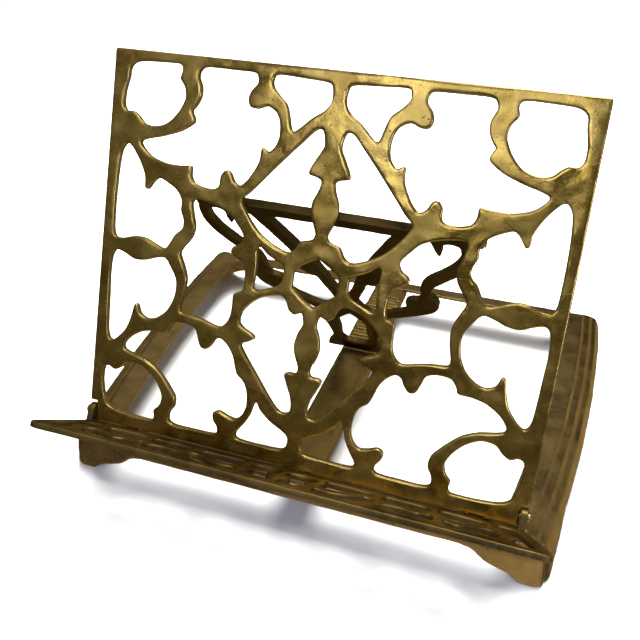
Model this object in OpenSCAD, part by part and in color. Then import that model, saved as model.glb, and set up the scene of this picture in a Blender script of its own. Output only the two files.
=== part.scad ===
// Book display stand: a pierced cast-brass rest that leans back on a moulded base.
// Frame: +Z up, +Y away from the reader, +X to the reader's right, millimetres.
// The origin is on the ground, under the middle of the whole stand.
// Inside the modules y = 0 is the front bottom edge of the rest; placed() moves it.

/* [Base frame] */
// Width over the feet at the front
base_front_w = 338; // [330:1:346]
// Width over the feet at the rear
base_rear_w = 382; // [374:1:386]
// Depth over the feet
base_depth = 295; // [290:1:305]
// Height of the flat flange above the ground
base_h = 36; // [34:1:38]
// How far each side bows out past its chord
side_bow = 8; // [5:0.5:9]
// Width of the moulding that slopes down outside the flange
moulding_w = 20; // [18:1:22]
// Width of the flat flange on the sides
flange_w = 16; // [14:1:18]
// Width of the flat flange at the front
front_flange_w = 10; // [9:1:13]
// Width of the flat flange at the rear
rear_flange_w = 11; // [10:1:14]
// Wall thickness of the base casting
casting_t = 3.5; // [3:0.5:4]
// Height of the gap under each rail, between the bracket feet
foot_gap_h = 19; // [15:1:20]

/* [Rack bar] */
// Width of the rack bar's body
rack_w = 29; // [26:1:30]
// Height of the rack bar's body
rack_h = 11; // [9:1:12]
// Number of notches
notch_count = 10; // [6:1:10]
// Distance from notch to notch
notch_pitch = 9.5; // [9:0.5:9.5]
// Depth of a notch
notch_depth = 3; // [2:0.5:3.5]

/* [Rest panel] */
// Width of the rest
panel_w = 300; // [298:1:302]
// Height of the rest along its slope
panel_h = 248; // [246:1:252]
// Thickness of the rest
panel_t = 5; // [4:0.5:5]
// Lean of the rest from upright, in the frontmost notch
panel_lean = 22.5; // [21:0.5:24]
// Height of the rest's front bottom edge above the ground
panel_z = 48; // [47:0.5:50]

/* [Strut] */
// Height of the strut's pivot up the rest
strut_pivot_v = 162; // [158:1:165]
// Distance of the strut's pivot behind the rest's front face
strut_pivot_b = 11; // [10.5:0.5:12]
// Thickness of the strut
strut_t = 5; // [4:0.5:5]
// Place of the strut's foot on the rack, behind the rest's front bottom edge
foot_y = 158; // [156:0.5:160]

/* [Ledge] */
// Depth of the ledge from its back edge to its front edge
ledge_depth = 53; // [50:1:54]
// Slope of the ledge, rising towards the reader
ledge_rise = 34.5; // [32:0.5:36]
// Thickness of the ledge
ledge_t = 5; // [4:0.5:5.5]

/* [Pins] */
// Radius of the hinge and pivot pins
pin_r = 2; // [1.5:0.1:2.2]
// Radial running clearance of a pin in the piece that turns on it
pin_gap = 0.05; // [0.02:0.01:0.1]

/* [Hidden] */
$fn = 64;

brass = "darkgoldenrod";
pale_brass = "goldenrod";
worn_brass = "peru";

// Base plan
base_front_y = -2;
base_back_y = base_front_y + base_depth;
chord_x = (base_rear_w - base_front_w) / 2;
chord = norm([chord_x, base_depth]);
side_r = chord * chord / (8 * side_bow) + side_bow / 2;
side_angle = atan2(chord_x, base_depth);
side_mid = [(base_front_w + base_rear_w) / 4, base_front_y + base_depth / 2];
side_centre = side_mid - (side_r - side_bow) * [cos(side_angle), -sin(side_angle)];
bow_lengths = 5;
reach = 420;

// Gap between solids that move past each other
free_gap = 0.3;

// Rest hinge: clevis ears on the base, a knuckle on the rest, one pin each side
hinge_y = 9;
hinge_z = 43;
hinge_x = 120;
hinge_r = 4.2;
knuckle_w = 7.4;
ear_w = 4;
hinge_head_r = 3;
hinge_head_t = 1.4;

// Flange and rack levels
// The front moulding is the side moulding drawn steeper
front_k = 0.6;
front_inset = 1.4;
flange_front_y = base_front_y + moulding_w * front_k;
flange_back_y = base_back_y - moulding_w;
well_front_y = flange_front_y + front_flange_w;
well_back_y = flange_back_y - rear_flange_w;
under_z = base_h - casting_t;
rack_chamfer = 3.5;
rivet_r = 2;
rivet_head_r = 3.6;
rivet_head_h = 1.2;
rivet_x = 8;

// Directions in the (y, z) plane: up the rest, and out of its back
up = [sin(panel_lean), cos(panel_lean)];
back = [cos(panel_lean), -sin(panel_lean)];
function rest_point(v, b) = [0, panel_z] + v * up + b * back;

// Strut: pivot on the rest's back, foot just clear of the teeth
pivot = rest_point(strut_pivot_v, strut_pivot_b);
foot_r = strut_t / 2 + 0.5;
foot_w = 50;
foot = [foot_y, base_h + free_gap + foot_r];
strut_len = norm(foot - pivot);
strut_lean = atan2(foot[0] - pivot[0], pivot[1] - foot[1]);
strut_drawn_len = 179;
strut_bar_w = 8.4;
strut_bar_t = 6.4;
strut_end_x = 90.5;
lug_x = strut_end_x + 1.1;
lug_w = 4.5;
lug_r = 4.4;
strut_pin_bite = 9;

// Ledge: hinge in the rest's bottom corners
ledge_pivot_v = 6;
ledge_pivot = rest_point(ledge_pivot_v, panel_t / 2);
ledge_drop = 7;
ledge_back_w = -4;
notch_w = 5;
notch_h = 13.5;
ledge_ear_t = notch_w - 2 * free_gap;
ledge_ear_r = 5.2;
ledge_ear_heel = 4.5;
ledge_pin_r = pin_r - 0.5;
ledge_pin_bite = 8;
ledge_pin_head_r = 3.2;

// The whole stand is centred on its bounding box
ledge_front = ledge_pivot
    + (ledge_depth + ledge_back_w) * [-cos(ledge_rise), sin(ledge_rise)]
    - (ledge_drop + ledge_t) * [sin(ledge_rise), cos(ledge_rise)];
mid_y = (ledge_front[0] + base_back_y) / 2;

// Closed smooth curve through hand-placed points, with n steps from point to point
function bend(a, b, c, d, t) =
    b + 0.45 * t * (c - a)
    + t * t * (3 * (c - b) - 0.9 * (c - a) - 0.45 * (d - b))
    + t * t * t * (2 * (b - c) + 0.45 * (c - a) + 0.45 * (d - b));
function smooth(p, n = 3) = let (k = len(p)) [
    for (i = [0:k - 1]) for (j = [0:n - 1])
        bend(p[(i + k - 1) % k], p[i], p[(i + 1) % k], p[(i + 2) % k], j / n)
];
// The same for an open line, which ends on its first and last points
function smooth_open(p, n = 3) = let (k = len(p)) concat([
    for (i = [0:k - 2]) for (j = [0:n - 1])
        bend(p[max(i - 1, 0)], p[i], p[i + 1], p[min(i + 2, k - 1)], j / n)
], [p[k - 1]]);
function reversed(p) = [for (i = [len(p) - 1:-1:0]) p[i]];
function flip_x(p) = reversed([for (q = p) [-q[0], q[1]]]);
function arc(c, r, a0, a1, n = 6) = [
    for (i = [0:n]) c + r * [cos(a0 + (a1 - a0) * i / n), sin(a0 + (a1 - a0) * i / n)]
];

module placed() {
    translate([0, -mid_y, 0]) children();
}

module mirrored_pair() {
    children();
    mirror([1, 0, 0]) children();
}

// Draw a (y, z) outline and give it a width along X from x0
module slab_x(x0, w) {
    translate([x0, 0, 0]) rotate([90, 0, 90]) linear_extrude(w) children();
}

module rod_x(x0, w, p, r) {
    translate([x0, p[0], p[1]]) rotate([0, 90, 0]) cylinder(h = w, r = r);
}

// ---------------------------------------------------------------- base frame

// Moulding profile, s outward from the flange's edge and z up: a step, a hollow,
// a ridge, a second hollow and a swelling face that flares out over the foot
moulding_k = moulding_w / 20;
moulding = [for (p = concat(
    [[0, base_h], [0.7, base_h - 0.7]],
    arc([4.3, base_h + 1.1], 4.2, 205, 278, 5),
    [[5.6, base_h - 3.3], [6.7, base_h - 3.6], [7.6, base_h - 4.4]],
    arc([11.6, base_h - 3.6], 4.3, 195, 272, 5),
    [[12.7, base_h - 8.1], [13.9, base_h - 9.7], [15.6, base_h - 12.7],
     [16.9, base_h - 16.2], [17.8, base_h - 20], [18.4, 12], [18.9, 8], [19.6, 4.6],
     [20, 2.6], [19.9, 1], [19.2, 0]])) [p[0] * moulding_k, p[1]]];
hollow = [[-0.4, under_z], [8 * moulding_k, under_z - 4.6],
          [11 * moulding_k, under_z - 9], [13.8 * moulding_k, under_z - 18],
          [14.8 * moulding_k, 7], [15.8 * moulding_k, 0], [16 * moulding_k, -1]];

// One straight length of a bowed side, touching the arc of the bow. Inside its
// profile it stands taller than the front and rear section that it is cut with
module side_length(profile, i) {
    edge_r = side_r - moulding_w;
    last = profile[len(profile) - 1];
    turn = 2 * asin(chord / 2 / side_r) / bow_lengths;
    translate(side_centre) rotate(-side_angle - turn * (i - (bow_lengths - 1) / 2))
        translate([0, reach, 0]) rotate([90, 0, 0]) linear_extrude(2 * reach)
            polygon(concat([[edge_r + last[0], last[1] - 5], [side_r - reach, last[1] - 5],
                [side_r - reach, profile[0][1] + 10],
                [edge_r + profile[0][0], profile[0][1] + 10]],
                [for (p = profile) [edge_r + p[0], p[1]]]));
}

// Front and rear together, as one section along X
module length_form(profile, inset) {
    slab_x(-reach / 2, reach) polygon(concat(
        [for (p = profile) [flange_back_y + p[0], p[1]]],
        reversed([for (p = profile) [flange_front_y - p[0] * front_k + inset, p[1]]])));
}

module frame_form(profile, inset = 0) {
    intersection() {
        intersection_for (i = [0:bow_lengths - 1]) side_length(profile, i);
        intersection_for (i = [0:bow_lengths - 1])
            mirror([1, 0, 0]) side_length(profile, i);
        length_form(profile, inset);
    }
}

module well() {
    well_r = side_r - moulding_w - flange_w;
    intersection() {
        translate([side_centre[0], side_centre[1], -1]) cylinder(h = 60, r = well_r, $fn = 720);
        mirror([1, 0, 0]) translate([side_centre[0], side_centre[1], -1])
            cylinder(h = 60, r = well_r, $fn = 720);
        translate([-reach / 2, well_front_y, -1]) cube([reach, well_back_y - well_front_y, 60]);
    }
}

// The gap between two bracket feet, seen from the front, with ogee ends
module foot_gap(w) {
    g = foot_gap_h / 19;
    ogee = smooth_open([[16.5, 0], [19, 2.6 * g], [24, 5.4 * g], [31, 7.6 * g],
                        [38, 10.2 * g], [43.5, 14 * g], [48.5, 17.6 * g], [55, foot_gap_h]]);
    half = concat([[w / 2 - 16.5, -1]], [for (p = ogee) [w / 2 - p[0], p[1]]]);
    polygon(concat(half, flip_x(half)));
}

module hinge_ear(x0) {
    rod_x(x0, ear_w, [hinge_y, hinge_z], hinge_r);
    slab_x(x0, ear_w) polygon([[hinge_y - hinge_r, hinge_z], [hinge_y - hinge_r, 26],
        [hinge_y + 7, 26], [hinge_y + hinge_r, hinge_z]]);
}

module base_frame() {
    color(worn_brass) placed() difference() {
        union() {
            difference() {
                frame_form(moulding);
                frame_form(hollow, front_inset);
                well();
            }
            mirrored_pair() {
                hinge_ear(hinge_x - knuckle_w / 2 - free_gap - ear_w);
                hinge_ear(hinge_x + knuckle_w / 2 + free_gap);
            }
        }
        translate([0, 40, 0]) rotate([90, 0, 0]) linear_extrude(60) foot_gap(base_front_w);
        translate([0, base_back_y + 20, 0]) rotate([90, 0, 0]) linear_extrude(60)
            foot_gap(base_rear_w);
        translate([0, base_front_y + base_depth / 2, 0])
            slab_x(-reach / 2, reach) foot_gap(base_depth);
        mirrored_pair() rod_x(hinge_x - 20, 40, [hinge_y, hinge_z], pin_r);
        rivet_holes();
    }
}

// ------------------------------------------------------------------ rack bar

rivet_front_y = flange_front_y + front_flange_w / 2;
rivet_rear_y = flange_back_y - rear_flange_w / 2;

module rivet_holes() {
    for (x = [-rivet_x, rivet_x]) for (y = [rivet_front_y, rivet_rear_y])
        translate([x, y, 0]) cylinder(h = base_h + 5, r = rivet_r);
}

module rack_bar() {
    low = base_h - rack_h;
    color(worn_brass) placed() difference() {
        union() {
            translate([0, well_back_y - free_gap / 3, 0]) rotate([90, 0, 0])
                linear_extrude(well_back_y - well_front_y - 2 * free_gap / 3) polygon([
                    [-rack_w / 2, low], [rack_w / 2, low], [rack_w / 2, base_h - rack_chamfer],
                    [rack_w / 2 - rack_chamfer, base_h], [rack_chamfer - rack_w / 2, base_h],
                    [-rack_w / 2, base_h - rack_chamfer]]);
            translate([-rack_w / 2, flange_front_y + 2, low])
                cube([rack_w, flange_back_y - flange_front_y - 3, under_z - low]);
        }
        for (i = [0:notch_count - 1]) translate([0, foot_y + i * notch_pitch, 0])
            slab_x(-rack_w, 2 * rack_w) polygon([[-5.2, base_h + 1], [-5.2, base_h],
                [0.8, base_h - notch_depth], [1.8, base_h], [1.8, base_h + 1]]);
        rivet_holes();
    }
}

module rack_rivets() {
    color(pale_brass) placed()
        for (x = [-rivet_x, rivet_x]) for (y = [rivet_front_y, rivet_rear_y])
            translate([x, y, base_h - rack_h - rivet_head_h]) rotate_extrude()
                polygon([[0, 0], [rivet_head_r - 1, 0], [rivet_head_r, 0.7],
                    [rivet_head_r, rivet_head_h], [rivet_r, rivet_head_h],
                    [rivet_r, rack_h + rivet_head_h], [rivet_head_r, rack_h + rivet_head_h],
                    [rivet_head_r, rack_h + rivet_head_h + 0.5],
                    [rivet_head_r - 1.2, rack_h + 2 * rivet_head_h],
                    [0, rack_h + 2 * rivet_head_h]]);
}

// ---------------------------------------------------------------- rest panel

// Openings of the right half, x from the centre line and v up the slope.
top_centre_hole = [[5, 238], [8.5, 240.5], [24, 241.5], [39, 242], [42, 239.5], [41.5, 235],
    [37, 230], [32, 225.5], [29.5, 219], [27.5, 212], [25.5, 210.5], [22, 213], [15, 219.5],
    [8, 224.5], [4.5, 230]];
top_field_hole = [[52.5, 240], [56, 241.8], [70, 242], [85, 242], [89.5, 240.5], [91, 236],
    [88.5, 230], [88.5, 224], [91, 218.5], [93.5, 215], [91.5, 211], [92, 207.5], [100, 202],
    [112, 197.5], [123, 194.5], [127, 192.5], [125.5, 189], [119, 184], [108, 181], [97, 181],
    [90.5, 181.5], [90, 176], [87.5, 171.5], [81, 169.5], [74, 169.5], [70.5, 172], [70, 178],
    [67, 182], [63.5, 181], [60.5, 176], [56.5, 174], [52, 178], [48, 184.5], [45.5, 190.5],
    [45, 197.5], [43.5, 198.5], [40, 196.8], [36.5, 200], [34.5, 206], [35, 214], [38, 220],
    [44, 223], [50, 221], [55, 221.5], [57, 226], [55.5, 231], [52, 235.5]];
top_corner_hole = [[105, 242], [102.5, 238.5], [103.5, 233.5], [100, 228.5], [99, 221.5],
    [103.5, 212.5], [110.5, 205.5], [119, 203], [126, 204], [130.5, 208], [134.5, 210.5],
    [139, 210.5], [141.5, 214], [141.5, 222], [139.5, 231], [138.5, 237.5], [133.5, 241],
    [120, 242]];
upper_side_hole = [[138, 189.5], [141, 184], [142.5, 170], [143, 150], [142.5, 134], [140, 129],
    [134, 129.3], [127, 131.5], [119, 131.5], [111, 128.5], [104.5, 126.8], [101, 130.5],
    [97.5, 137], [93, 141.5], [92.5, 147], [95, 153], [95, 159], [99, 165], [106, 169],
    [112, 171], [116, 168], [119.5, 163], [122, 164.5], [122.5, 171], [126.5, 179.5],
    [132, 187], [135.5, 190]];
mid_field_hole = [[50.5, 143.5], [55.5, 150], [61, 155.5], [68, 158.5], [76, 160.5],
    [84, 161.5], [87.5, 159.5], [86, 151.5], [84, 144], [85.5, 137], [90, 130.5],
    [92.5, 125.5], [89.5, 118.5], [86.5, 110], [87, 100], [89, 91], [87.5, 87.3], [80, 86.5],
    [71, 84.8], [61, 82.8], [56, 86], [53.5, 92], [53, 100], [52.5, 106], [47, 109.5],
    [46.5, 118], [48, 126], [53, 128.5], [57.5, 132], [56.5, 135.5], [52, 138.5]];
upper_diamond_hole = [[6.5, 211], [8.5, 213.5], [12.5, 212], [20, 204], [30, 193], [40, 181.5],
    [49, 171], [53.5, 166.5], [53, 162.5], [47, 154], [39, 146], [29, 140.5], [20.5, 138],
    [16, 140.5], [12.5, 146], [6, 148], [4, 151.5], [6, 157], [8.5, 164], [8.3, 171],
    [5.5, 178], [4.5, 183.5], [8, 185.5], [12.5, 186.5], [12.5, 190], [9, 197], [5.5, 204]];
heart_side_hole = [[22, 129.5], [27, 131.5], [33, 134.5], [38, 138.3], [40, 136], [39.5, 128],
    [39.5, 119], [40, 112.5], [37, 111], [30, 113.5], [24, 116.5], [21.5, 120], [21.3, 125]];
heart_half = [[0.8, 136.6], [7, 133], [12.5, 129.5], [14.3, 127], [14.3, 118], [12.5, 115.5],
    [6, 110.3], [0.8, 106.8]];
lower_diamond_hole = [[6, 101.5], [10.5, 100], [14.5, 102], [17.5, 108], [21, 110.3],
    [28, 109], [35, 106], [41, 101], [45.5, 95], [46.5, 88.5], [43, 85], [37.5, 82.5],
    [35, 79.8], [38.5, 77], [43.5, 74.5], [42.5, 71], [36, 62.5], [28, 52.5], [20, 42.5],
    [13.5, 36], [8, 35.5], [5.5, 39], [6.5, 46], [10, 54], [12.5, 60.5], [10, 62.5], [5, 63],
    [4.2, 67.5], [7, 74], [8.5, 81], [7, 89], [4.5, 95]];
bottom_centre_hole = [[5, 14.5], [8, 10.8], [20, 10], [34, 10], [40, 11], [40.5, 14.5],
    [36.5, 20.5], [32.5, 28], [30.5, 35.5], [28.5, 38], [25.5, 33.5], [18, 27.5], [9, 23],
    [5, 19.5]];
bottom_field_hole = [[54, 11.5], [58, 9.8], [70, 9.5], [84, 9.5], [89.5, 11.5], [89.5, 17],
    [86.5, 22.5], [87, 29], [91, 34.5], [96.5, 40.5], [103.5, 46.5], [112, 50.5], [122, 52.8],
    [127, 54.5], [127.5, 58], [122.5, 64], [114, 69], [105, 71], [97, 71.5], [95, 75.5],
    [91.5, 79.5], [84, 80.3], [77, 78.3], [74.5, 72.5], [72, 67], [68, 65.8], [64.5, 69],
    [61.5, 74], [57.5, 74.8], [52.5, 71], [48.5, 65], [46.3, 58.5], [44, 53.5], [39.5, 50],
    [36.5, 44], [35.5, 35], [37.5, 28], [42, 23.8], [48, 24.5], [54, 26.5], [58, 24.5],
    [57.5, 19.5], [54.5, 15.5]];
bottom_corner_hole = [[102, 9.5], [107, 8.8], [120, 9], [132, 10.5], [138, 14], [141, 22],
    [142.3, 31], [141.5, 38.5], [138, 40.3], [133.5, 38.5], [128.5, 41], [123.5, 45.5],
    [115, 46], [106.5, 41.5], [100, 34.5], [96.5, 27], [98, 20.5], [101.5, 16.5], [101, 12.5]];
lower_side_hole = [[103, 120.5], [110, 119.5], [117, 117], [125, 116.3], [133, 119.5],
    [139, 120.5], [142, 116], [143, 105], [142.5, 90], [142, 75], [141, 63], [138, 58.8],
    [133, 62], [127.5, 69], [124.5, 77.5], [122.5, 86], [120, 86.5], [117.5, 81],
    [112, 78.5], [105.5, 80.5], [99, 86], [95, 93.5], [93.5, 101], [94, 108], [97.5, 114]];
panel_holes = [top_centre_hole, top_field_hole, top_corner_hole, upper_side_hole,
    mid_field_hole, upper_diamond_hole, heart_side_hole, lower_diamond_hole,
    bottom_centre_hole, bottom_field_hole, bottom_corner_hole, lower_side_hole];

module panel_outline() {
    r = 1.5;
    x = panel_w / 2;
    half = concat([[0, 0], [x - notch_w, 0], [x - notch_w, notch_h], [x, notch_h]],
        arc([x - r, panel_h - r], r, 0, 90, 3));
    polygon(concat(half, flip_x([for (i = [1:len(half) - 1]) half[i]])));
}

// Everything inside is drawn with x across, y up the slope and z out of the back
module on_rest() {
    translate([0, 0, panel_z]) rotate([90 - panel_lean, 0, 0]) mirror([0, 0, 1]) children();
}

// The knuckle under the rest's bottom edge, in (v, b)
hinge_v = hinge_y * up[0] + (hinge_z - panel_z) * up[1];
hinge_b = hinge_y * back[0] + (hinge_z - panel_z) * back[1];

// Draw a (b, v) outline and give it a width along X, inside on_rest()
module slab_rest(x0, w) {
    translate([x0, 0, 0]) rotate([90, 0, 90]) linear_extrude(w) children();
}

module knuckle() {
    translate([hinge_x - knuckle_w / 2, hinge_v, hinge_b]) rotate([0, 90, 0])
        cylinder(h = knuckle_w, r = hinge_r);
    slab_rest(hinge_x - knuckle_w / 2, knuckle_w) polygon([[8, panel_t - 1], [8, panel_t],
        [hinge_v + 3.4, hinge_b + 2.4], [hinge_v - 2.4, hinge_b - 3.4], [0, panel_t - 1]]);
}

module strut_lug() {
    translate([lug_x, strut_pivot_v, strut_pivot_b]) rotate([0, 90, 0])
        cylinder(h = lug_w, r = lug_r);
    slab_rest(lug_x, lug_w) polygon([[strut_pivot_v + 1.5, panel_t - 1],
        [strut_pivot_v + 14, panel_t - 1], [strut_pivot_v + 14, panel_t],
        [strut_pivot_v + 4.2, strut_pivot_b + 1.3], [strut_pivot_v - 4.2, strut_pivot_b + 1.3],
        [strut_pivot_v - 4.2, strut_pivot_b - 1.3], [strut_pivot_v + 1.5, panel_t]]);
}

module rest_panel() {
    color(brass) placed() on_rest() difference() {
        union() {
            linear_extrude(panel_t) difference() {
                panel_outline();
                for (h = panel_holes) {
                    polygon(smooth(h));
                    polygon(flip_x(smooth(h)));
                }
                polygon(smooth(concat(heart_half, flip_x(heart_half))));
            }
            mirrored_pair() {
                knuckle();
                strut_lug();
            }
        }
        mirrored_pair() {
            translate([hinge_x - 20, hinge_v, hinge_b]) rotate([0, 90, 0])
                cylinder(h = 40, r = pin_r + pin_gap);
            translate([lug_x - 5, strut_pivot_v, strut_pivot_b]) rotate([0, 90, 0])
                cylinder(h = 20, r = pin_r);
            translate([panel_w / 2 - notch_w - ledge_pin_bite, ledge_pivot_v, panel_t / 2])
                rotate([0, 90, 0]) cylinder(h = 20, r = ledge_pin_r);
        }
    }
}

// --------------------------------------------------------------------- strut

// Half outline and openings, x from the centre line and s down from the pivot
strut_half = [[82, 0], [87, 1], [89.5, 6], [90.5, 13], [89.8, 22], [86.5, 32],
    [80.5, 42], [73, 51], [66.5, 59], [63, 66], [63.5, 73], [67.5, 79], [68.5, 86],
    [65.5, 94], [59, 100], [50, 106], [40, 112], [31, 117], [25.5, 122], [24, 130],
    [23, 139], [20.5, 148], [18.7, 158], [19.5, 168], [23.5, 174.5], [24.5, 179]];
strut_side_hole = [[76, 5.5], [82, 8], [82.5, 17], [79, 28], [72, 38.5], [64, 47.5], [58, 56],
    [55.5, 65], [56, 73], [54.5, 80], [48, 82.5], [44, 87.5], [45.5, 94], [42.5, 100.5],
    [35, 106], [26, 111.5], [18, 113], [11.5, 108], [9, 100], [12, 90], [16, 80],
    [18.5, 72.5], [24.5, 70.5], [29.5, 64], [31, 54], [32.5, 45], [38, 33], [45, 20.5],
    [51.5, 10], [56, 5.5], [63, 5.5], [65, 10], [67.5, 18], [70, 20.5], [71.5, 15],
    [71.5, 8.5]];
strut_middle_half = [[7, 5.3], [20, 5.3], [38, 5.3], [40, 8], [33, 21], [25.5, 35], [18, 50],
    [11.5, 65], [7.5, 78], [3.5, 89], [0.6, 95]];
stirrup_half = [[0.6, 121], [4.5, 125.5], [9.5, 131], [11, 138], [10.2, 147], [11, 156],
    [11, 163], [8, 168], [0.6, 169]];

module strut_plate() {
    half = smooth_open(strut_half);
    difference() {
        polygon(concat(half, flip_x(half)));
        polygon(smooth(strut_side_hole));
        polygon(flip_x(smooth(strut_side_hole)));
        polygon(smooth(concat(strut_middle_half, flip_x(strut_middle_half))));
        polygon(smooth(concat(stirrup_half, flip_x(stirrup_half))));
    }
}

// Inside, x runs across, y down the strut from its pivot and z out of its back
module on_strut() {
    translate([0, pivot[0], pivot[1]]) rotate([strut_lean - 90, 0, 0]) children();
}

module strut() {
    color(brass) placed() on_strut() difference() {
        union() {
            translate([0, 0, -strut_t / 2]) linear_extrude(strut_t)
                scale([1, strut_len / strut_drawn_len]) strut_plate();
            translate([-strut_end_x + 2, -strut_bar_w / 2, -strut_bar_t / 2])
                cube([2 * strut_end_x - 4, strut_bar_w, strut_bar_t]);
            translate([-foot_w / 2, strut_len, 0]) rotate([0, 90, 0])
                cylinder(h = foot_w, r = foot_r);
        }
        mirrored_pair() translate([strut_end_x - 12, 0, 0]) rotate([0, 90, 0])
            cylinder(h = 20, r = pin_r + pin_gap);
    }
}

// --------------------------------------------------------------------- ledge

// Half outline, x from the centre line and w out from the pivot's foot
ledge_tip = ledge_depth + ledge_back_w;
ledge_half = [[0, ledge_back_w], [148.5, ledge_back_w], [150, 2], [152, 10], [156.6, 23],
    [161.8, 35], [164.3, 41.5], [164.7, ledge_tip - 4.5], [163.6, ledge_tip - 1.8],
    [161.2, ledge_tip - 0.3], [158.5, ledge_tip], [0, ledge_tip]];
ledge_holes = [
    [[3, 10], [12, 8], [20, 10], [22, 17], [17, 22], [19, 30], [14, 38], [5, 40], [3, 32],
     [8, 24], [3, 17]],
    [[28, 8], [42, 7.5], [56, 9], [58, 14], [50, 17], [42, 24], [34, 27], [27, 22], [29, 15]],
    [[26, 32], [36, 33], [46, 29], [55, 22], [61, 24], [58, 32], [50, 40], [36, 41.5],
     [26, 40]],
    [[66, 8], [80, 7.5], [92, 9], [93, 15], [86, 20], [78, 18], [72, 21], [66, 17]],
    [[66, 30], [72, 27], [79, 26], [88, 28], [95, 25], [98, 32], [94, 40], [80, 41.5],
     [67, 40]],
    [[100, 8], [115, 8], [126, 10], [127, 17], [119, 19], [112, 25], [104, 21], [100, 15]],
    [[104, 31], [112, 33], [120, 27], [130, 24], [136, 29], [133, 37], [124, 41.5],
     [108, 41.5]],
    [[134, 9], [143, 9], [146.5, 14], [151, 25], [156.5, 37], [154, 42], [144, 42],
     [142, 35], [145, 27], [141, 19], [135, 16]]];

module ledge_plate() {
    difference() {
        polygon(concat(ledge_half, flip_x([for (i = [1:len(ledge_half) - 2]) ledge_half[i]])));
        for (h = ledge_holes) {
            polygon(smooth(h));
            polygon(flip_x(smooth(h)));
        }
    }
}

// Inside, x runs across, y out to the reader and z square to the ledge, up
module on_ledge() {
    translate([0, ledge_pivot[0], ledge_pivot[1]]) rotate([-ledge_rise, 0, 0])
        mirror([0, 1, 0]) children();
}

module ledge_ear() {
    x0 = panel_w / 2 - notch_w + free_gap;
    translate([x0, 0, 0]) rotate([0, 90, 0]) cylinder(h = ledge_ear_t, r = ledge_ear_r);
    translate([x0, -ledge_ear_heel, -ledge_drop - 1])
        cube([ledge_ear_t, ledge_ear_heel + ledge_ear_r, ledge_drop + 1]);
}

module ledge() {
    color(brass) placed() on_ledge() difference() {
        union() {
            translate([0, 0, -ledge_drop - ledge_t]) linear_extrude(ledge_t) ledge_plate();
            mirrored_pair() ledge_ear();
        }
        mirrored_pair() translate([panel_w / 2 - 10, 0, 0]) rotate([0, 90, 0])
            cylinder(h = 20, r = ledge_pin_r + pin_gap);
    }
}

// ---------------------------------------------------------------------- pins

module rest_hinge_pin_left() {
    placed() mirror([1, 0, 0]) rest_hinge_pin();
}

module rest_hinge_pin_right() {
    placed() rest_hinge_pin();
}

module rest_hinge_pin() {
    x0 = hinge_x - knuckle_w / 2 - free_gap - ear_w;
    w = knuckle_w + 2 * free_gap + 2 * ear_w;
    color(pale_brass) {
        rod_x(x0, w, [hinge_y, hinge_z], pin_r);
        rod_x(x0 + w, hinge_head_t, [hinge_y, hinge_z], hinge_head_r);
    }
}

module strut_pin() {
    color(pale_brass) {
        rod_x(lug_x - strut_pin_bite, lug_w + strut_pin_bite, pivot, pin_r);
        rod_x(lug_x + lug_w, hinge_head_t, pivot, hinge_head_r);
    }
}

module strut_pin_left() {
    placed() mirror([1, 0, 0]) strut_pin();
}

module strut_pin_right() {
    placed() strut_pin();
}

// A domed head outside the ledge's ear, and a shank in the rest's corner
module ledge_pin() {
    x0 = panel_w / 2 - notch_w - ledge_pin_bite;
    head = panel_w / 2 - notch_w + free_gap + ledge_ear_t + 0.2;
    r = ledge_pin_r;
    dome_r = ledge_pin_head_r;
    color(pale_brass) translate([x0, ledge_pivot[0], ledge_pivot[1]]) rotate([0, 90, 0])
        rotate_extrude() polygon(concat([[0, 0], [r, 0], [r, head - x0], [dome_r, head - x0]],
            [for (i = [0:6]) [dome_r * cos(i * 15), head - x0 + 0.8 + 2.2 * sin(i * 15)]]));
}

module ledge_pin_left() {
    placed() mirror([1, 0, 0]) ledge_pin();
}

module ledge_pin_right() {
    placed() ledge_pin();
}

base_frame();
rack_bar();
rack_rivets();
rest_panel();
rest_hinge_pin_left();
rest_hinge_pin_right();
strut();
strut_pin_left();
strut_pin_right();
ledge();
ledge_pin_left();
ledge_pin_right();
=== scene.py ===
import math

import bmesh
import bpy
import numpy as np
from mathutils import Matrix, Vector, kdtree, noise
from mathutils.geometry import delaunay_2d_cdt


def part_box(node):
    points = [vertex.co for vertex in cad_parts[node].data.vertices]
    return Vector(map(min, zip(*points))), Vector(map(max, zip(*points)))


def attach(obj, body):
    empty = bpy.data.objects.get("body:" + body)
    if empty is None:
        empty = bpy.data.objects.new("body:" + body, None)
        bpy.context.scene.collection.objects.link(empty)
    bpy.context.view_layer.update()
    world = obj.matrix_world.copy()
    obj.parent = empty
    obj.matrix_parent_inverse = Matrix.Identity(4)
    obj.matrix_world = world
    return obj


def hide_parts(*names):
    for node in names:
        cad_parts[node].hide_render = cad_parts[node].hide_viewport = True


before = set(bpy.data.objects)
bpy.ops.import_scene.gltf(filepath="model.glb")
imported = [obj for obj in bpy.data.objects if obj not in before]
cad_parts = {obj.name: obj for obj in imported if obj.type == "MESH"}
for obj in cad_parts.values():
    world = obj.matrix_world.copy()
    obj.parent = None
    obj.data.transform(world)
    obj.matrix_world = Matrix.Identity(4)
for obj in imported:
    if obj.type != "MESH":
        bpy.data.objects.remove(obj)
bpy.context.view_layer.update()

MM = 0.001

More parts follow.
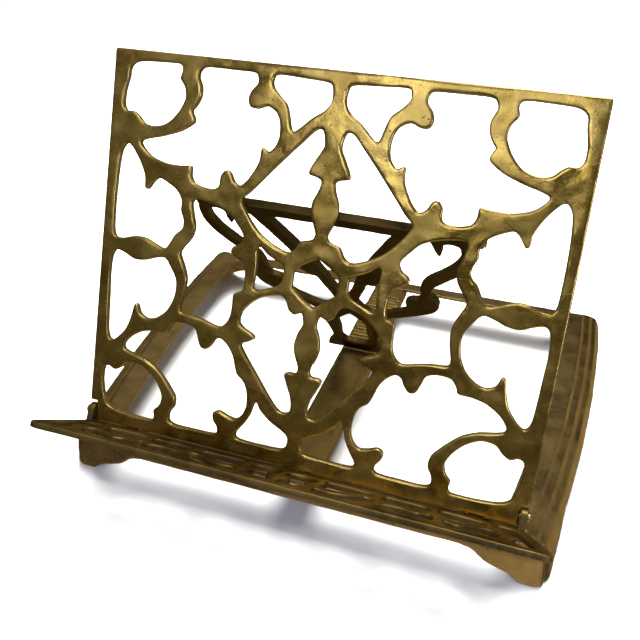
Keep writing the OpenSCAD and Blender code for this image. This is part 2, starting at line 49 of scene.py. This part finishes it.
# Relief of the cast plates, in millimetres
SHARP_TURN = 52                            # degrees of turn that stay a corner of an outline
STRAIGHT_RUN = 12                          # a longer side of an outline stays straight
RING_DEPTHS = (0.12, 0.4, 0.85, 1.5, 2.3)  # rows of points beside every edge
RIM_STEP = 1.0                             # spacing of points along the edges
SUNK_FRONT, SUNK_BACK = 0.35, 0.15         # keep the uneven faces inside the CAD shape
BROAD_UNEVEN = (0.42, 18, 3.1)             # amount, size and seed of the slow unevenness
FINE_UNEVEN = (0.13, 6, 8.2)               # the same for the quick unevenness
EVEN_BESIDE_EDGE = 1.5                     # the unevenness fades out over this width
PLATE_SHADED_SIDES = (0.25, 0.6)                  # how far a surface turns before it counts as a side that gets painted shade
LUG_ROOT = 1.2                             # how deep lugs and ears reach into their plate

# Other castings, in millimetres
BASE_CORNER = 12                           # radius of the base's upright corners
CORNER_ZONE = 20                           # depth of an end row that holds its corners
SKIN_BIAS = 0.35                           # skins are pushed inwards more than outwards


# ---------------------------------------------------------------- frame helpers

def node_mesh(node):
    """Welded vertices, in millimetres, and triangles of a CAD node."""
    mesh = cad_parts[node].data
    mesh.calc_loop_triangles()
    co = np.array([v.co for v in mesh.vertices]) / MM
    tri = np.array([t.vertices for t in mesh.loop_triangles])
    _, first, back = np.unique(co.round(3), axis=0, return_index=True, return_inverse=True)
    tri = back.ravel()[tri]
    keep = (tri[:, 0] != tri[:, 1]) & (tri[:, 1] != tri[:, 2]) & (tri[:, 2] != tri[:, 0])
    return co[first], tri[keep]


def normals_of(co, tri):
    """Unit normals and areas of triangles."""
    n = np.cross(co[tri[:, 1]] - co[tri[:, 0]], co[tri[:, 2]] - co[tri[:, 0]])
    size = np.linalg.norm(n, axis=1)
    return n / np.maximum(size, 1e-12)[:, None], size / 2


class Plane:
    """The large flat face of a casting: u runs across it, v up it and w out of it."""

    def __init__(self, node, upper):
        co, tri = node_mesh(node)
        n, area = normals_of(co, tri)
        sloped = (abs(n[:, 0]) < 0.001) & ((n[:, 2] > 0.05) == upper) & (abs(n[:, 2]) > 0.05)
        angles = np.degrees(np.arctan2(n[:, 2], n[:, 1])).round(1)
        names, group = np.unique(angles, return_inverse=True)
        best = np.bincount(group, weights=area * sloped).argmax()
        chosen = (group == best) & sloped
        w = (n[chosen] * area[chosen][:, None]).sum(0)
        self.w = w / np.linalg.norm(w)
        self.u = np.array([1.0, 0, 0])
        self.v = np.cross(self.w, self.u)
        self.turn = np.stack([self.u, self.v, self.w])
        local = co @ self.turn.T
        heights = local[tri[chosen]][:, :, 2].mean(1).round(2)
        levels, group = np.unique(heights, return_inverse=True)
        top = levels[np.bincount(group, weights=area[chosen]).argmax()]
        flat = np.where(chosen)[0][abs(heights - top) < 0.05]
        self.origin = np.array([0, 0, top])
        self.local = local - self.origin
        self.tri = tri
        self.flat = tri[flat]

    def world(self, points):
        """From (u, v, w) in millimetres to the frame, in metres."""
        return (np.asarray(points, float) + self.origin) @ self.turn * MM

    def matrix(self):
        """The plane's own axes and origin as a matrix, in metres."""
        m = Matrix(self.turn.T.tolist()).to_4x4()
        m.translation = Vector(self.origin @ self.turn * MM)
        return m


def border_edges(tri):
    """The edges that only one triangle has, in the direction that it runs along them."""
    edges = dict.fromkeys(e for a, b, c in tri for e in ((a, b), (b, c), (c, a)))
    return [(a, b) for a, b in edges if (b, a) not in edges]


def rim_loops(plane):
    """The face's outline and holes as closed lines of (u, v), with metal on the left."""
    nexts = {}
    for a, b in border_edges(plane.flat):
        nexts.setdefault(a, []).append(b)
    loops = []
    while nexts:
        start = next(iter(nexts))
        line, here = [], start
        while here in nexts:
            line.append(here)
            there = nexts[here].pop()
            if not nexts[here]:
                del nexts[here]
            here = there
        if len(line) > 8:
            loops.append(plane.local[line][:, :2])
    return loops


def fine_line(line, step):
    """A closed line with round stretches between its points, and its sharp corners kept."""
    n = len(line)
    before, after = np.roll(line, 1, 0), np.roll(line, -1, 0)
    into, out = line - before, after - line
    turn = np.degrees(np.arctan2(into[:, 0] * out[:, 1] - into[:, 1] * out[:, 0],
                                 (into * out).sum(1)))
    sharp = abs(turn) > SHARP_TURN
    li, lo = np.linalg.norm(into, axis=1), np.linalg.norm(out, axis=1)
    tangent = (into / li[:, None] + out / lo[:, None]) / 2
    result = []
    for i in range(n):
        j = (i + 1) % n
        p, q, size = line[i], line[j], lo[i]
        straight = (q - p) / size
        a = straight if sharp[i] or lo[i] > 3 * li[i] else tangent[i]
        b = straight if sharp[j] or lo[i] > 3 * lo[j] else tangent[j]
        if size > STRAIGHT_RUN:
            a = b = straight
        pieces = max(1, math.ceil(size / step))
        for k in range(pieces):
            t = k / pieces
            result.append((2 * t**3 - 3 * t**2 + 1) * p + (t**3 - 2 * t**2 + t) * size * a
                          + (3 * t**2 - 2 * t**3) * q + (t**3 - t**2) * size * b)
    return np.array(result)


class Rim:
    """Distance from points to the outline and the holes' edges."""

    def __init__(self, loops):
        self.points = np.vstack(loops)
        self.ends = np.vstack([np.roll(p, -1, 0) for p in loops])
        index = np.cumsum([0] + [len(p) for p in loops])
        self.before = np.concatenate([np.roll(np.arange(a, b), 1)
                                      for a, b in zip(index[:-1], index[1:])])
        self.tree = kdtree.KDTree(len(self.points))
        for i, p in enumerate(self.points):
            self.tree.insert((p[0], p[1], 0), i)
        self.tree.balance()

    def distance(self, points):
        """Distance of each point from the nearest edge."""
        best = np.full(len(points), np.inf)
        near = np.array([[i for _, i, _ in self.tree.find_n((p[0], p[1], 0), 3)]
                         for p in points])
        for k in range(3):
            for s in (near[:, k], self.before[near[:, k]]):
                a, d = self.points[s], self.ends[s] - self.points[s]
                t = ((points - a) * d).sum(1) / np.maximum((d * d).sum(1), 1e-12)
                gap = points - a - np.clip(t, 0, 1)[:, None] * d
                best = np.minimum(best, np.linalg.norm(gap, axis=1))
        return best

    def inside(self, points):
        """Whether each point is in the metal, by counting the edges to its right."""
        result = np.zeros(len(points), bool)
        (x0, y0), (x1, y1) = self.points.T, self.ends.T
        slope = (x1 - x0) / np.where(y1 == y0, 1, y1 - y0)
        for i, (x, y) in enumerate(points):
            crossed = ((y0 > y) != (y1 > y)) & (x < x0 + (y - y0) * slope)
            result[i] = crossed.sum() % 2
        return result


# ------------------------------------------------------------------ mesh helpers

def new_object(name, verts, faces):
    """A mesh object in the scene, with its points in metres."""
    mesh = bpy.data.meshes.new(name)
    mesh.from_pydata([tuple(v) for v in verts], [], [tuple(f) for f in faces])
    mesh.validate()
    piece = bpy.data.objects.new(name, mesh)
    bpy.context.scene.collection.objects.link(piece)
    return piece


def apply_modifiers(piece):
    """Puts what the modifiers give into the piece's own mesh."""
    bpy.context.view_layer.update()
    done = bpy.data.meshes.new_from_object(
        piece.evaluated_get(bpy.context.evaluated_depsgraph_get()))
    piece.modifiers.clear()
    piece.data = done
    return piece


def smooth_shading(piece):
    """Shades every face smoothly."""
    piece.data.polygons.foreach_set("use_smooth", [True] * len(piece.data.polygons))
    piece.data.update()
    return piece


def wavy(points, scale, seed):
    """Gentle, repeatable unevenness from -1 to 1 at points in millimetres."""
    return np.array([noise.noise((p[0] / scale + seed, p[1] / scale, p[2] / scale))
                     for p in points])


def rounding(d, radius, crown, reach):
    """How far the surface drops at a distance d from an edge: a quarter round, then a crown."""
    inner = np.clip(radius - d, 0, radius)
    fillet = radius - np.sqrt(radius**2 - inner**2)
    t = np.clip(d / reach, 0, 1)
    return fillet + crown * (1 - t * t * (3 - 2 * t))


def relief_plate(name, plane, thickness, front, back, grid):
    """A pierced plate with rounded, crowned strands, built on its outline and holes.

    front and back are each a fillet, a crown and the crown's reach, for rounding().
    """
    loops = [fine_line(p, RIM_STEP) for p in rim_loops(plane)]
    rim = Rim(loops)
    edge_count = len(rim.points)
    inner = []
    for depth in RING_DEPTHS:
        for p in loops:
            along = np.roll(p, -1, 0) - np.roll(p, 1, 0)
            along /= np.maximum(np.linalg.norm(along, axis=1), 1e-9)[:, None]
            q = p + depth * np.stack([-along[:, 1], along[:, 0]], 1)
            if depth > 1:
                q = q[::2]
            inner.append(q[(rim.distance(q) > 0.93 * depth) & rim.inside(q)])
    low, high = rim.points.min(0), rim.points.max(0)
    rows = []
    for j, v in enumerate(np.arange(low[1], high[1], grid * 0.866)):
        u = np.arange(low[0] + (j % 2) * grid / 2, high[0], grid)
        rows.append(np.stack([u, np.full(len(u), v)], 1))
    rows = np.vstack(rows)
    rows = rows[rim.distance(rows) > RING_DEPTHS[-1] + grid * 0.6]
    inner.append(rows[rim.inside(rows)])
    flat = np.vstack([rim.points] + inner)

    edges, start = [], 0
    for p in loops:
        edges += [(start + i, start + (i + 1) % len(p)) for i in range(len(p))]
        start += len(p)
    co, _, faces, origin, _, _ = delaunay_2d_cdt(
        [Vector(p) for p in flat], edges, [], 0, 1e-5)
    co = np.array(co)
    tri = np.array(faces)
    source = np.array([o[0] if o else -1 for o in origin])
    on_rim = (source >= 0) & (source < edge_count)
    doubtful = on_rim[tri].all(1)
    keep = ~doubtful
    keep[doubtful] = rim.inside(co[tri[doubtful]].mean(1))
    tri = tri[keep]
    cross = np.cross(co[tri[:, 1]] - co[tri[:, 0]], co[tri[:, 2]] - co[tri[:, 0]])
    tri[cross < 0] = tri[cross < 0][:, ::-1]
    used, tri = np.unique(tri, return_inverse=True)
    tri = tri.reshape(-1, 3)
    co, on_rim = co[used], on_rim[used]

    d = np.where(on_rim, 0, rim.distance(co))
    flat3 = np.column_stack([co, np.zeros(len(co))])
    uneven = sum(amount * wavy(flat3, size, seed)
                 for amount, size, seed in (BROAD_UNEVEN, FINE_UNEVEN))
    uneven *= np.clip(d / EVEN_BESIDE_EDGE, 0, 1)
    top = np.column_stack([co, -rounding(d, *front) - SUNK_FRONT + uneven])
    under = np.column_stack([co, -thickness + rounding(d, *back) + SUNK_BACK
                             + 0.5 * uneven[::-1]])
    n = len(co)
    border = border_edges(tri)
    ring = sorted({i for e in border for i in e})
    middle = {i: 2 * n + k for k, i in enumerate(ring)}
    walls = []
    for a, b in border:
        walls.append((b, a, middle[a], middle[b]))
        walls.append((middle[b], middle[a], a + n, b + n))
    verts = plane.world(np.vstack([top, under, (top[ring] + under[ring]) / 2]))
    faces = [tuple(f) for f in np.vstack([tri, tri[:, ::-1] + n])] + walls
    return smooth_shading(new_object(name, verts, faces))


def cad_copy(node, name):
    """A new piece with the shape of a CAD node, to be worked on."""
    co, tri = node_mesh(node)
    return new_object(name, co * MM, tri)


def lugs_of(node, plane, depth, voxel, name):
    """What a casting carries beyond its plate, as closed lumps rooted in the plate."""
    lumps = cad_copy(node, name)
    bm = bmesh.new()
    bm.from_mesh(lumps.data)
    bm.transform(plane.matrix().inverted())
    level = -(depth + 0.02) * MM
    bmesh.ops.bisect_plane(bm, geom=bm.verts[:] + bm.edges[:] + bm.faces[:], dist=1e-7,
                           plane_co=(0, 0, level), plane_no=(0, 0, 1), clear_outer=True)
    cut = [e for e in bm.edges if e.is_boundary]
    bmesh.ops.holes_fill(bm, edges=cut, sides=0)
    for v in bm.verts:
        if abs(v.co.z - level) < 1e-6:
            v.co.z += LUG_ROOT * MM
    bmesh.ops.triangulate(bm, faces=bm.faces[:])
    bmesh.ops.recalc_face_normals(bm, faces=bm.faces[:])
    bm.transform(plane.matrix())
    bm.to_mesh(lumps.data)
    bm.free()
    return remeshed(lumps, plane, voxel, 4)


def remeshed(piece, plane, voxel, passes):
    """One even skin over a piece, with its edges worn round. The grid lies in the plane."""
    axes = plane.matrix() if plane else Matrix.Identity(4)
    piece.data.transform(axes.inverted())
    grid = piece.modifiers.new("grid", "REMESH")
    grid.mode = "VOXEL"
    grid.voxel_size = voxel * MM
    soft = piece.modifiers.new("soft", "SMOOTH")
    soft.factor = 0.5
    soft.iterations = passes
    apply_modifiers(piece)
    piece.data.transform(axes)
    return smooth_shading(piece)


def joined(piece, part):
    """Fuses part into piece."""
    union = piece.modifiers.new("union", "BOOLEAN")
    union.operation = "UNION"
    union.solver = "EXACT"
    union.object = part
    apply_modifiers(piece)
    bpy.data.objects.remove(part)
    return smooth_shading(piece)


def uneven_skin(piece, amount, scale, seed):
    """Pushes a casting's skin in and out a little, smoothly, and never below the floor."""
    mesh = piece.data
    co = np.array([v.co for v in mesh.vertices])
    normals = np.zeros(len(co) * 3)
    mesh.vertices.foreach_get("normal", normals)
    shift = (wavy(co / MM, scale, seed) - SKIN_BIAS) * amount * MM
    co += normals.reshape(-1, 3) * shift[:, None]
    co[:, 2] = np.maximum(co[:, 2], 0)
    mesh.vertices.foreach_set("co", co.ravel())
    mesh.update()
    return piece


def round_corners(piece, box, radius):
    """Rounds the four upright corners of a box-like piece, the inner mouldings with them."""
    low, high = (np.array(corner)[:2] for corner in box)
    co = np.array([v.co for v in piece.data.vertices])
    middle = (low + high) / 2
    for end in (-1, 1):
        edge = co[(co[:, 1] - middle[1]) * end > (high[1] - low[1]) / 2 - CORNER_ZONE * MM]
        half = np.array([abs(edge[:, 0]).max(), abs(edge[:, 1] - middle[1]).max()])
        inner = half - radius * MM
        q = np.column_stack([abs(co[:, 0]), (co[:, 1] - middle[1]) * end]) - inner
        inside = (q > 0).all(1)
        size = np.linalg.norm(q[inside], axis=1)
        q[inside] *= (q[inside].max(1) / size)[:, None]
        co[inside, 0] = np.sign(co[inside, 0]) * (q[inside, 0] + inner[0])
        co[inside, 1] = middle[1] + end * (q[inside, 1] + inner[1])
    piece.data.vertices.foreach_set("co", co.ravel())
    piece.data.update()
    return piece


def mark_sides(piece, axis, low, high):
    """Marks what faces across the axis, so that the material paints shade on these sides and
    makes them rougher.
    """
    mesh = piece.data
    normals = np.zeros(len(mesh.vertices) * 3)
    mesh.vertices.foreach_get("normal", normals)
    facing = abs(normals.reshape(-1, 3) @ np.array(axis))
    t = np.clip((high - facing) / (high - low), 0, 1)
    mark = mesh.attributes.new("side", "FLOAT", "POINT")
    mark.data.foreach_set("value", t * t * (3 - 2 * t))
    return piece


# --------------------------------------------------------------------- materials

PIT_BROWN = (0.05, 0.03, 0.012, 1)
STAIN_GREEN = (0.10, 0.125, 0.115, 1)
GLANCING_TINT = (0.85, 0.72, 0.48, 1)


class Nodes:
    """Short names for building a material's nodes."""

    def __init__(self, name):
        self.material = bpy.data.materials.new(name)
        self.material.use_nodes = True
        self.tree = self.material.node_tree
        self.tree.nodes.clear()
        self.place = self.make("ShaderNodeTexCoord").outputs["Object"]

    def make(self, kind, **settings):
        """A new node with these settings."""
        node = self.tree.nodes.new(kind)
        for key, value in settings.items():
            setattr(node, key, value)
        return node

    def link(self, source, target):
        self.tree.links.new(source, target)

    def put(self, value, socket):
        """Links a socket's value, or sets a plain one."""
        if isinstance(value, bpy.types.NodeSocket):
            self.link(value, socket)
        else:
            socket.default_value = value

    def moved(self, scale=(1, 1, 1), turn=(0, 0, 0)):
        """The object's coordinates, stretched and turned."""
        node = self.make("ShaderNodeMapping")
        node.inputs["Scale"].default_value = scale
        node.inputs["Rotation"].default_value = turn
        self.link(self.place, node.inputs["Vector"])
        return node.outputs["Vector"]

    def noise(self, size, detail=4, rough=0.55, warp=0.0, where=None):
        """Noise whose patches are about size millimetres across."""
        node = self.make("ShaderNodeTexNoise")
        node.inputs["Scale"].default_value = 1000 / size
        node.inputs["Detail"].default_value = detail
        node.inputs["Roughness"].default_value = rough
        node.inputs["Distortion"].default_value = warp
        self.link(where or self.place, node.inputs["Vector"])
        return node.outputs["Fac"]

    def ramp(self, fac, low, high, a=0.0, b=1.0):
        """A smooth step from a to b as fac goes from low to high."""
        node = self.make("ShaderNodeMapRange", interpolation_type="SMOOTHSTEP")
        self.put(fac, node.inputs["Value"])
        node.inputs["From Min"].default_value = low
        node.inputs["From Max"].default_value = high
        node.inputs["To Min"].default_value = a
        node.inputs["To Max"].default_value = b
        return node.outputs["Result"]

    def math(self, operation, a, b=0.0):
        node = self.make("ShaderNodeMath", operation=operation)
        self.put(a, node.inputs[0])
        self.put(b, node.inputs[1])
        return node.outputs[0]

    def mix(self, fac, a, b):
        node = self.make("ShaderNodeMix", data_type="RGBA")
        self.put(fac, node.inputs["Factor"])
        self.put(a, node.inputs["A"])
        self.put(b, node.inputs["B"])
        return node.outputs["Result"]

    def pits(self, size, share):
        """Small round pits, size millimetres apart, kept where noise is high."""
        cells = self.make("ShaderNodeTexVoronoi")
        cells.inputs["Scale"].default_value = 1000 / size
        self.link(self.place, cells.inputs["Vector"])
        dot = self.ramp(cells.outputs["Distance"], 0.05, 0.32, 1, 0)
        some = self.ramp(self.noise(size * 3.1, 2), share, share + 0.06)
        return self.math("MULTIPLY", dot, some)


def aged_brass(name, metal, dark, bright, wear=0.5, rough=0.32, spots=0.0, contrast=1.0):
    """Old cast brass: brown patina in the hollows, worn edges, pits and fine scratches, and
    painted shade on the marked sides.

    metal and dark are its lighter and darker patches, and bright its rubbed edges. wear
    is how strongly those show, and spots how strongly the verdigris does.
    """
    n = Nodes(name)
    shader = n.make("ShaderNodeBsdfPrincipled")
    out = n.make("ShaderNodeOutputMaterial")
    n.link(shader.outputs["BSDF"], out.inputs["Surface"])

    broad = n.noise(70, 3, 0.5, 0.4)
    mottle = n.noise(13, 5, 0.6, 0.4)
    grain = n.noise(1.6, 5, 0.65)
    point = n.make("ShaderNodeNewGeometry").outputs["Pointiness"]
    ridge = n.ramp(point, 0.51, 0.57)
    hollow = n.ramp(point, 0.49, 0.43)
    side = n.make("ShaderNodeAttribute", attribute_name="side").outputs["Fac"]

    mixed = n.math("ADD", n.math("MULTIPLY", broad, 0.5), n.math("MULTIPLY", mottle, 0.38))
    mixed = n.math("ADD", mixed, n.math("MULTIPLY", grain, 0.12))
    patches = n.ramp(mixed, 0.5 - 0.14 / contrast, 0.5 + 0.12 / contrast)
    colour = n.mix(patches, (*dark, 1), (*metal, 1))
    deep = tuple(c * 0.3 for c in dark)
    colour = n.mix(n.math("MULTIPLY", hollow, 0.7), colour, (*deep, 1))
    # Painted shade: the marked sides turn towards the deep brown, lose rubbed brightness, and
    # get rougher and less metallic.
    colour = n.mix(n.math("MULTIPLY", side, 0.6), colour, (*deep, 1))
    rubbed = n.math("MULTIPLY", ridge, n.math("SUBTRACT", 1, n.math("MULTIPLY", side, 0.7)))
    colour = n.mix(n.math("MULTIPLY", rubbed, wear), colour, (*bright, 1))
    pit = n.math("MAXIMUM", n.pits(2.8, 0.57), n.math("MULTIPLY", n.pits(1.1, 0.62), 0.7))
    colour = n.mix(n.math("MULTIPLY", pit, 0.75), colour, PIT_BROWN)
    tarnish = n.ramp(n.noise(24, 6, 0.7, 0.8), 0.56, 0.72)
    colour = n.mix(n.math("MULTIPLY", tarnish, 0.35), colour, (*deep, 1))
    if spots:
        stain = n.ramp(n.noise(9, 5, 0.7, 1.2), 0.62, 0.7)
        colour = n.mix(n.math("MULTIPLY", stain, spots), colour, STAIN_GREEN)
    n.link(colour, shader.inputs["Base Color"])

    brushed = n.noise(26, 3, 0.55, 1.0, n.moved((0.5, 1, 1), (0.3, 0.2, 0.6)))
    r = n.ramp(mottle, 0.3, 0.7, rough - 0.05, rough + 0.06)
    r = n.math("ADD", r, n.ramp(brushed, 0.35, 0.65, -0.06, 0.07))
    r = n.math("ADD", r, n.math("MULTIPLY", tarnish, 0.07))
    r = n.math("ADD", r, n.math("MULTIPLY", side, 0.15))
    r = n.math("ADD", r, n.math("MULTIPLY", pit, 0.25))
    n.link(r, shader.inputs["Roughness"])
    n.link(n.ramp(side, 0, 1, 0.97, 0.8), shader.inputs["Metallic"])
    shader.inputs["Specular Tint"].default_value = GLANCING_TINT

    fine = n.noise(0.5, 2, 0.5, 0, n.moved((0.08, 1, 1), (0, 0, 0.15)))
    cross = n.noise(0.5, 2, 0.5, 0, n.moved((1, 0.1, 0.1), (0.2, 0.5, 0.5)))
    scratch = n.math("ADD", n.ramp(fine, 0.6, 0.75), n.ramp(cross, 0.64, 0.76))
    height = n.math("ADD", n.math("MULTIPLY", mottle, 0.45), n.math("MULTIPLY", grain, 0.08))
    height = n.math("SUBTRACT", height, n.math("MULTIPLY", scratch, 0.045))
    height = n.math("SUBTRACT", height, n.math("MULTIPLY", pit, 0.14))
    bump = n.make("ShaderNodeBump")
    bump.inputs["Strength"].default_value = 0.5
    bump.inputs["Distance"].default_value = 0.0006
    n.link(height, bump.inputs["Height"])
    n.link(bump.outputs["Normal"], shader.inputs["Normal"])
    return n.material


def plain(name, colour, rough):
    """A matt material of one colour."""
    n = Nodes(name)
    shader = n.make("ShaderNodeBsdfPrincipled")
    out = n.make("ShaderNodeOutputMaterial")
    n.link(shader.outputs["BSDF"], out.inputs["Surface"])
    shader.inputs["Base Color"].default_value = (*colour, 1)
    shader.inputs["Roughness"].default_value = rough
    return n.material


def dress(piece, material):
    """Gives the whole piece one material."""
    piece.data.materials.clear()
    piece.data.materials.append(material)


REST = aged_brass("rest_brass", metal=(0.42, 0.285, 0.07), dark=(0.24, 0.155, 0.026),
                  bright=(0.74, 0.57, 0.24), wear=0.6, rough=0.25)
LEDGE = aged_brass("ledge_brass", metal=(0.27, 0.18, 0.052), dark=(0.10, 0.064, 0.02),
                   bright=(0.42, 0.31, 0.11), wear=0.45, rough=0.37, spots=0.7, contrast=1.6)
# The strut's brass is a much darker copy of the rest's: painted shade for the strut in the
# shadow behind the panel.
STRUT_SHADED_BRASS = aged_brass("strut_brass", metal=(0.11, 0.072, 0.018), dark=(0.06, 0.038, 0.01),
                   bright=(0.34, 0.24, 0.08), wear=0.4, rough=0.34)
BASE = aged_brass("base_brass", metal=(0.42, 0.29, 0.11), dark=(0.25, 0.165, 0.058),
                  bright=(0.58, 0.43, 0.20), wear=0.5, rough=0.34)
RACK = aged_brass("rack_brass", metal=(0.46, 0.32, 0.10), dark=(0.28, 0.185, 0.05),
                  bright=(0.46, 0.33, 0.13), wear=0.45, rough=0.34)
PINS = aged_brass("pin_brass", metal=(0.40, 0.28, 0.09), dark=(0.16, 0.105, 0.032),
                  bright=(0.70, 0.53, 0.22), wear=0.6, rough=0.28)


# ------------------------------------------------------------------------- pieces

def plate_thickness(plane):
    """Depth, in millimetres, of the large face parallel to the plane's own."""
    n, area = normals_of(plane.local, plane.tri)
    back = n[:, 2] < -0.999
    depth = plane.local[plane.tri[back]][:, :, 2].mean(1).round(2)
    levels, group = np.unique(depth, return_inverse=True)
    return -levels[np.bincount(group, weights=area[back]).argmax()]


def make_rest():
    """The openwork rest, with its lugs and knuckles."""
    plane = Plane("rest_panel", True)
    thickness = plate_thickness(plane)
    piece = relief_plate("rest_casting", plane, thickness, (0.75, 0.2, 1.8), (0.8, 0.3, 2.0),
                         2.2)
    piece = joined(piece, lugs_of("rest_panel", plane, thickness, 0.45, "rest_lugs"))
    dress(mark_sides(piece, plane.w, *PLATE_SHADED_SIDES), REST)
    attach(piece, "rest")
    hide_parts("rest_panel")


def make_ledge():
    """The pierced ledge, with its two ears."""
    plane = Plane("ledge", False)
    thickness = plate_thickness(plane)
    piece = relief_plate("ledge_casting", plane, thickness, (0.8, 0.25, 2.5), (0.8, 0.3, 2.5),
                         2.0)
    piece = joined(piece, lugs_of("ledge", plane, thickness, 0.4, "ledge_ears"))
    dress(mark_sides(piece, plane.w, *PLATE_SHADED_SIDES), LEDGE)
    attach(piece, "ledge")
    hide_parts("ledge")


def make_strut():
    """The lyre-shaped strut."""
    plane = Plane("strut", True)
    piece = remeshed(cad_copy("strut", "strut_casting"), plane, 0.6, 7)
    uneven_skin(piece, 0.25, 9, 2.7)
    dress(mark_sides(piece, plane.w, *PLATE_SHADED_SIDES), STRUT_SHADED_BRASS)
    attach(piece, "strut")
    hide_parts("strut")


def make_base():
    """The moulded base frame on its feet."""
    piece = remeshed(cad_copy("base_frame", "base_casting"), None, 0.9, 5)
    round_corners(piece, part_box("base_frame"), BASE_CORNER)
    uneven_skin(piece, 0.25, 16, 5.3)
    dress(piece, BASE)
    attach(piece, "base")
    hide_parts("base_frame")


def make_rack():
    """The notched rack bar."""
    piece = remeshed(cad_copy("rack_bar", "rack_casting"), None, 0.5, 2)
    uneven_skin(piece, 0.15, 10, 1.9)
    # The rack's faces that don't face up get painted shade.
    dress(mark_sides(piece, (0, 0, 1), 0.35, 0.9), RACK)
    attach(piece, "base")
    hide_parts("rack_bar")


def make_pins():
    """Pins and rivets keep their CAD shape and get a polished finish."""
    for name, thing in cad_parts.items():
        if "pin" in name or "rivet" in name:
            dress(thing, PINS)


def make_stage():
    """A plain pale floor."""
    bpy.ops.mesh.primitive_circle_add(vertices=96, radius=4.0, fill_type="NGON")
    floor = bpy.context.object
    floor.name = "floor"
    dress(floor, plain("floor_pale", (0.86, 0.855, 0.84), 0.6))
    floor.visible_glossy = False


def area_light(name, place, target, size, power, colour=(1, 1, 1), spread=180,
               mirrored=True):
    """A round lamp that shines at target and isn't seen itself."""
    data = bpy.data.lights.new(name, "AREA")
    data.shape = "DISK"
    data.size = size
    data.energy = power
    data.color = colour
    data.spread = math.radians(spread)
    lamp = bpy.data.objects.new(name, data)
    lamp.location = place
    lamp.rotation_euler = (Vector(target) - Vector(place)).to_track_quat("-Z", "Y").to_euler()
    lamp.visible_camera = False
    lamp.visible_glossy = mirrored
    bpy.context.scene.collection.objects.link(lamp)


# What the brass mirrors: the lit table top in front and behind at the right, and the
# dark room above that. Each has a direction, the cosine at which it starts and a colour
MIRRORED = (((0.25, -0.62, -0.74), 0.72, (0.85, 0.74, 0.60, 1)),
            ((0.55, 0.75, -0.30), 0.80, (0.62, 0.55, 0.46, 1)),
            ((0.30, 0.75, 0.58), 0.85, (0.04, 0.035, 0.028, 1)))

DAYLIGHT = (0.92, 1.0, 1.4)


def make_light():
    """A graded surrounding and soft disc lamps. mirrored says which lamps metal shows."""
    world = bpy.data.worlds.new("studio")
    bpy.context.scene.world = world
    world.use_nodes = True
    tree = world.node_tree
    back = tree.nodes["Background"]
    place = tree.nodes.new("ShaderNodeTexCoord")
    split = tree.nodes.new("ShaderNodeSeparateXYZ")
    height = tree.nodes.new("ShaderNodeMapRange")
    height.inputs["From Min"].default_value = -1
    ramp = tree.nodes.new("ShaderNodeValToRGB")
    tree.links.new(place.outputs["Generated"], split.inputs[0])
    tree.links.new(split.outputs["Z"], height.inputs["Value"])
    tree.links.new(height.outputs["Result"], ramp.inputs["Fac"])
    stops = ramp.color_ramp.elements
    stops[0].position, stops[0].color = 0.0, (0.15, 0.135, 0.11, 1)
    stops[1].position, stops[1].color = 0.9, (0.30, 0.29, 0.27, 1)
    for level, colour in ((0.5, (0.11, 0.10, 0.085, 1)), (0.62, (0.16, 0.15, 0.13, 1))):
        stops.new(level).color = colour

    seen = ramp.outputs["Color"]
    for toward, start, colour in MIRRORED:
        facing = tree.nodes.new("ShaderNodeVectorMath")
        facing.operation = "DOT_PRODUCT"
        facing.inputs[1].default_value = Vector(toward).normalized()
        tree.links.new(place.outputs["Generated"], facing.inputs[0])
        lobe = tree.nodes.new("ShaderNodeMapRange")
        lobe.interpolation_type = "SMOOTHSTEP"
        lobe.inputs["From Min"].default_value = start
        tree.links.new(facing.outputs["Value"], lobe.inputs["Value"])
        total = tree.nodes.new("ShaderNodeMix")
        total.data_type = "RGBA"
        total.inputs["B"].default_value = colour
        tree.links.new(lobe.outputs["Result"], total.inputs["Factor"])
        tree.links.new(seen, total.inputs["A"])
        seen = total.outputs["Result"]
    tree.links.new(seen, back.inputs["Color"])

    area_light("overhead", (0.15, -0.05, 1.4), (0, 0, 0.1), 0.6, 8)
    area_light("front_soft", (-0.16, -1.24, 1.0), (0, 0, 0.2), 0.6, 3.9, DAYLIGHT)
    area_light("right_window", (1.05, -0.9, 0.42), (0.1, 0, 0.12), 0.42, 3.6, DAYLIGHT)
    area_light("floor_wash", (0, 0.65, 1.7), (0, 0.5, 0), 1.1, 34, spread=100,
               mirrored=False)
    area_light("rear_floor", (0, 1.7, 1.7), (0, 1.5, 0), 1.2, 30, spread=120,
               mirrored=False)


def make_camera():
    """The view from the right, a little above the rest."""
    data = bpy.data.cameras.new("camera")
    camera = bpy.data.objects.new("camera", data)
    bpy.context.scene.collection.objects.link(camera)
    data.sensor_width = 36
    data.lens = 42.67
    data.clip_start = 0.01
    yaw, pitch, roll = (math.radians(a) for a in (18.52, 33.58, 0.58))
    camera.location = (0.1305, -0.4564, 0.3993)
    turn = Matrix.Rotation(yaw, 3, "Z") @ Matrix.Rotation(math.pi / 2 - pitch, 3, "X")
    camera.rotation_euler = (turn @ Matrix.Rotation(roll, 3, "Z")).to_euler()
    bpy.context.scene.camera = camera


make_camera()
make_rest()
make_ledge()
make_strut()
make_base()
make_rack()
make_pins()
make_stage()
make_light()
bpy.context.scene.view_settings.view_transform = "Standard"
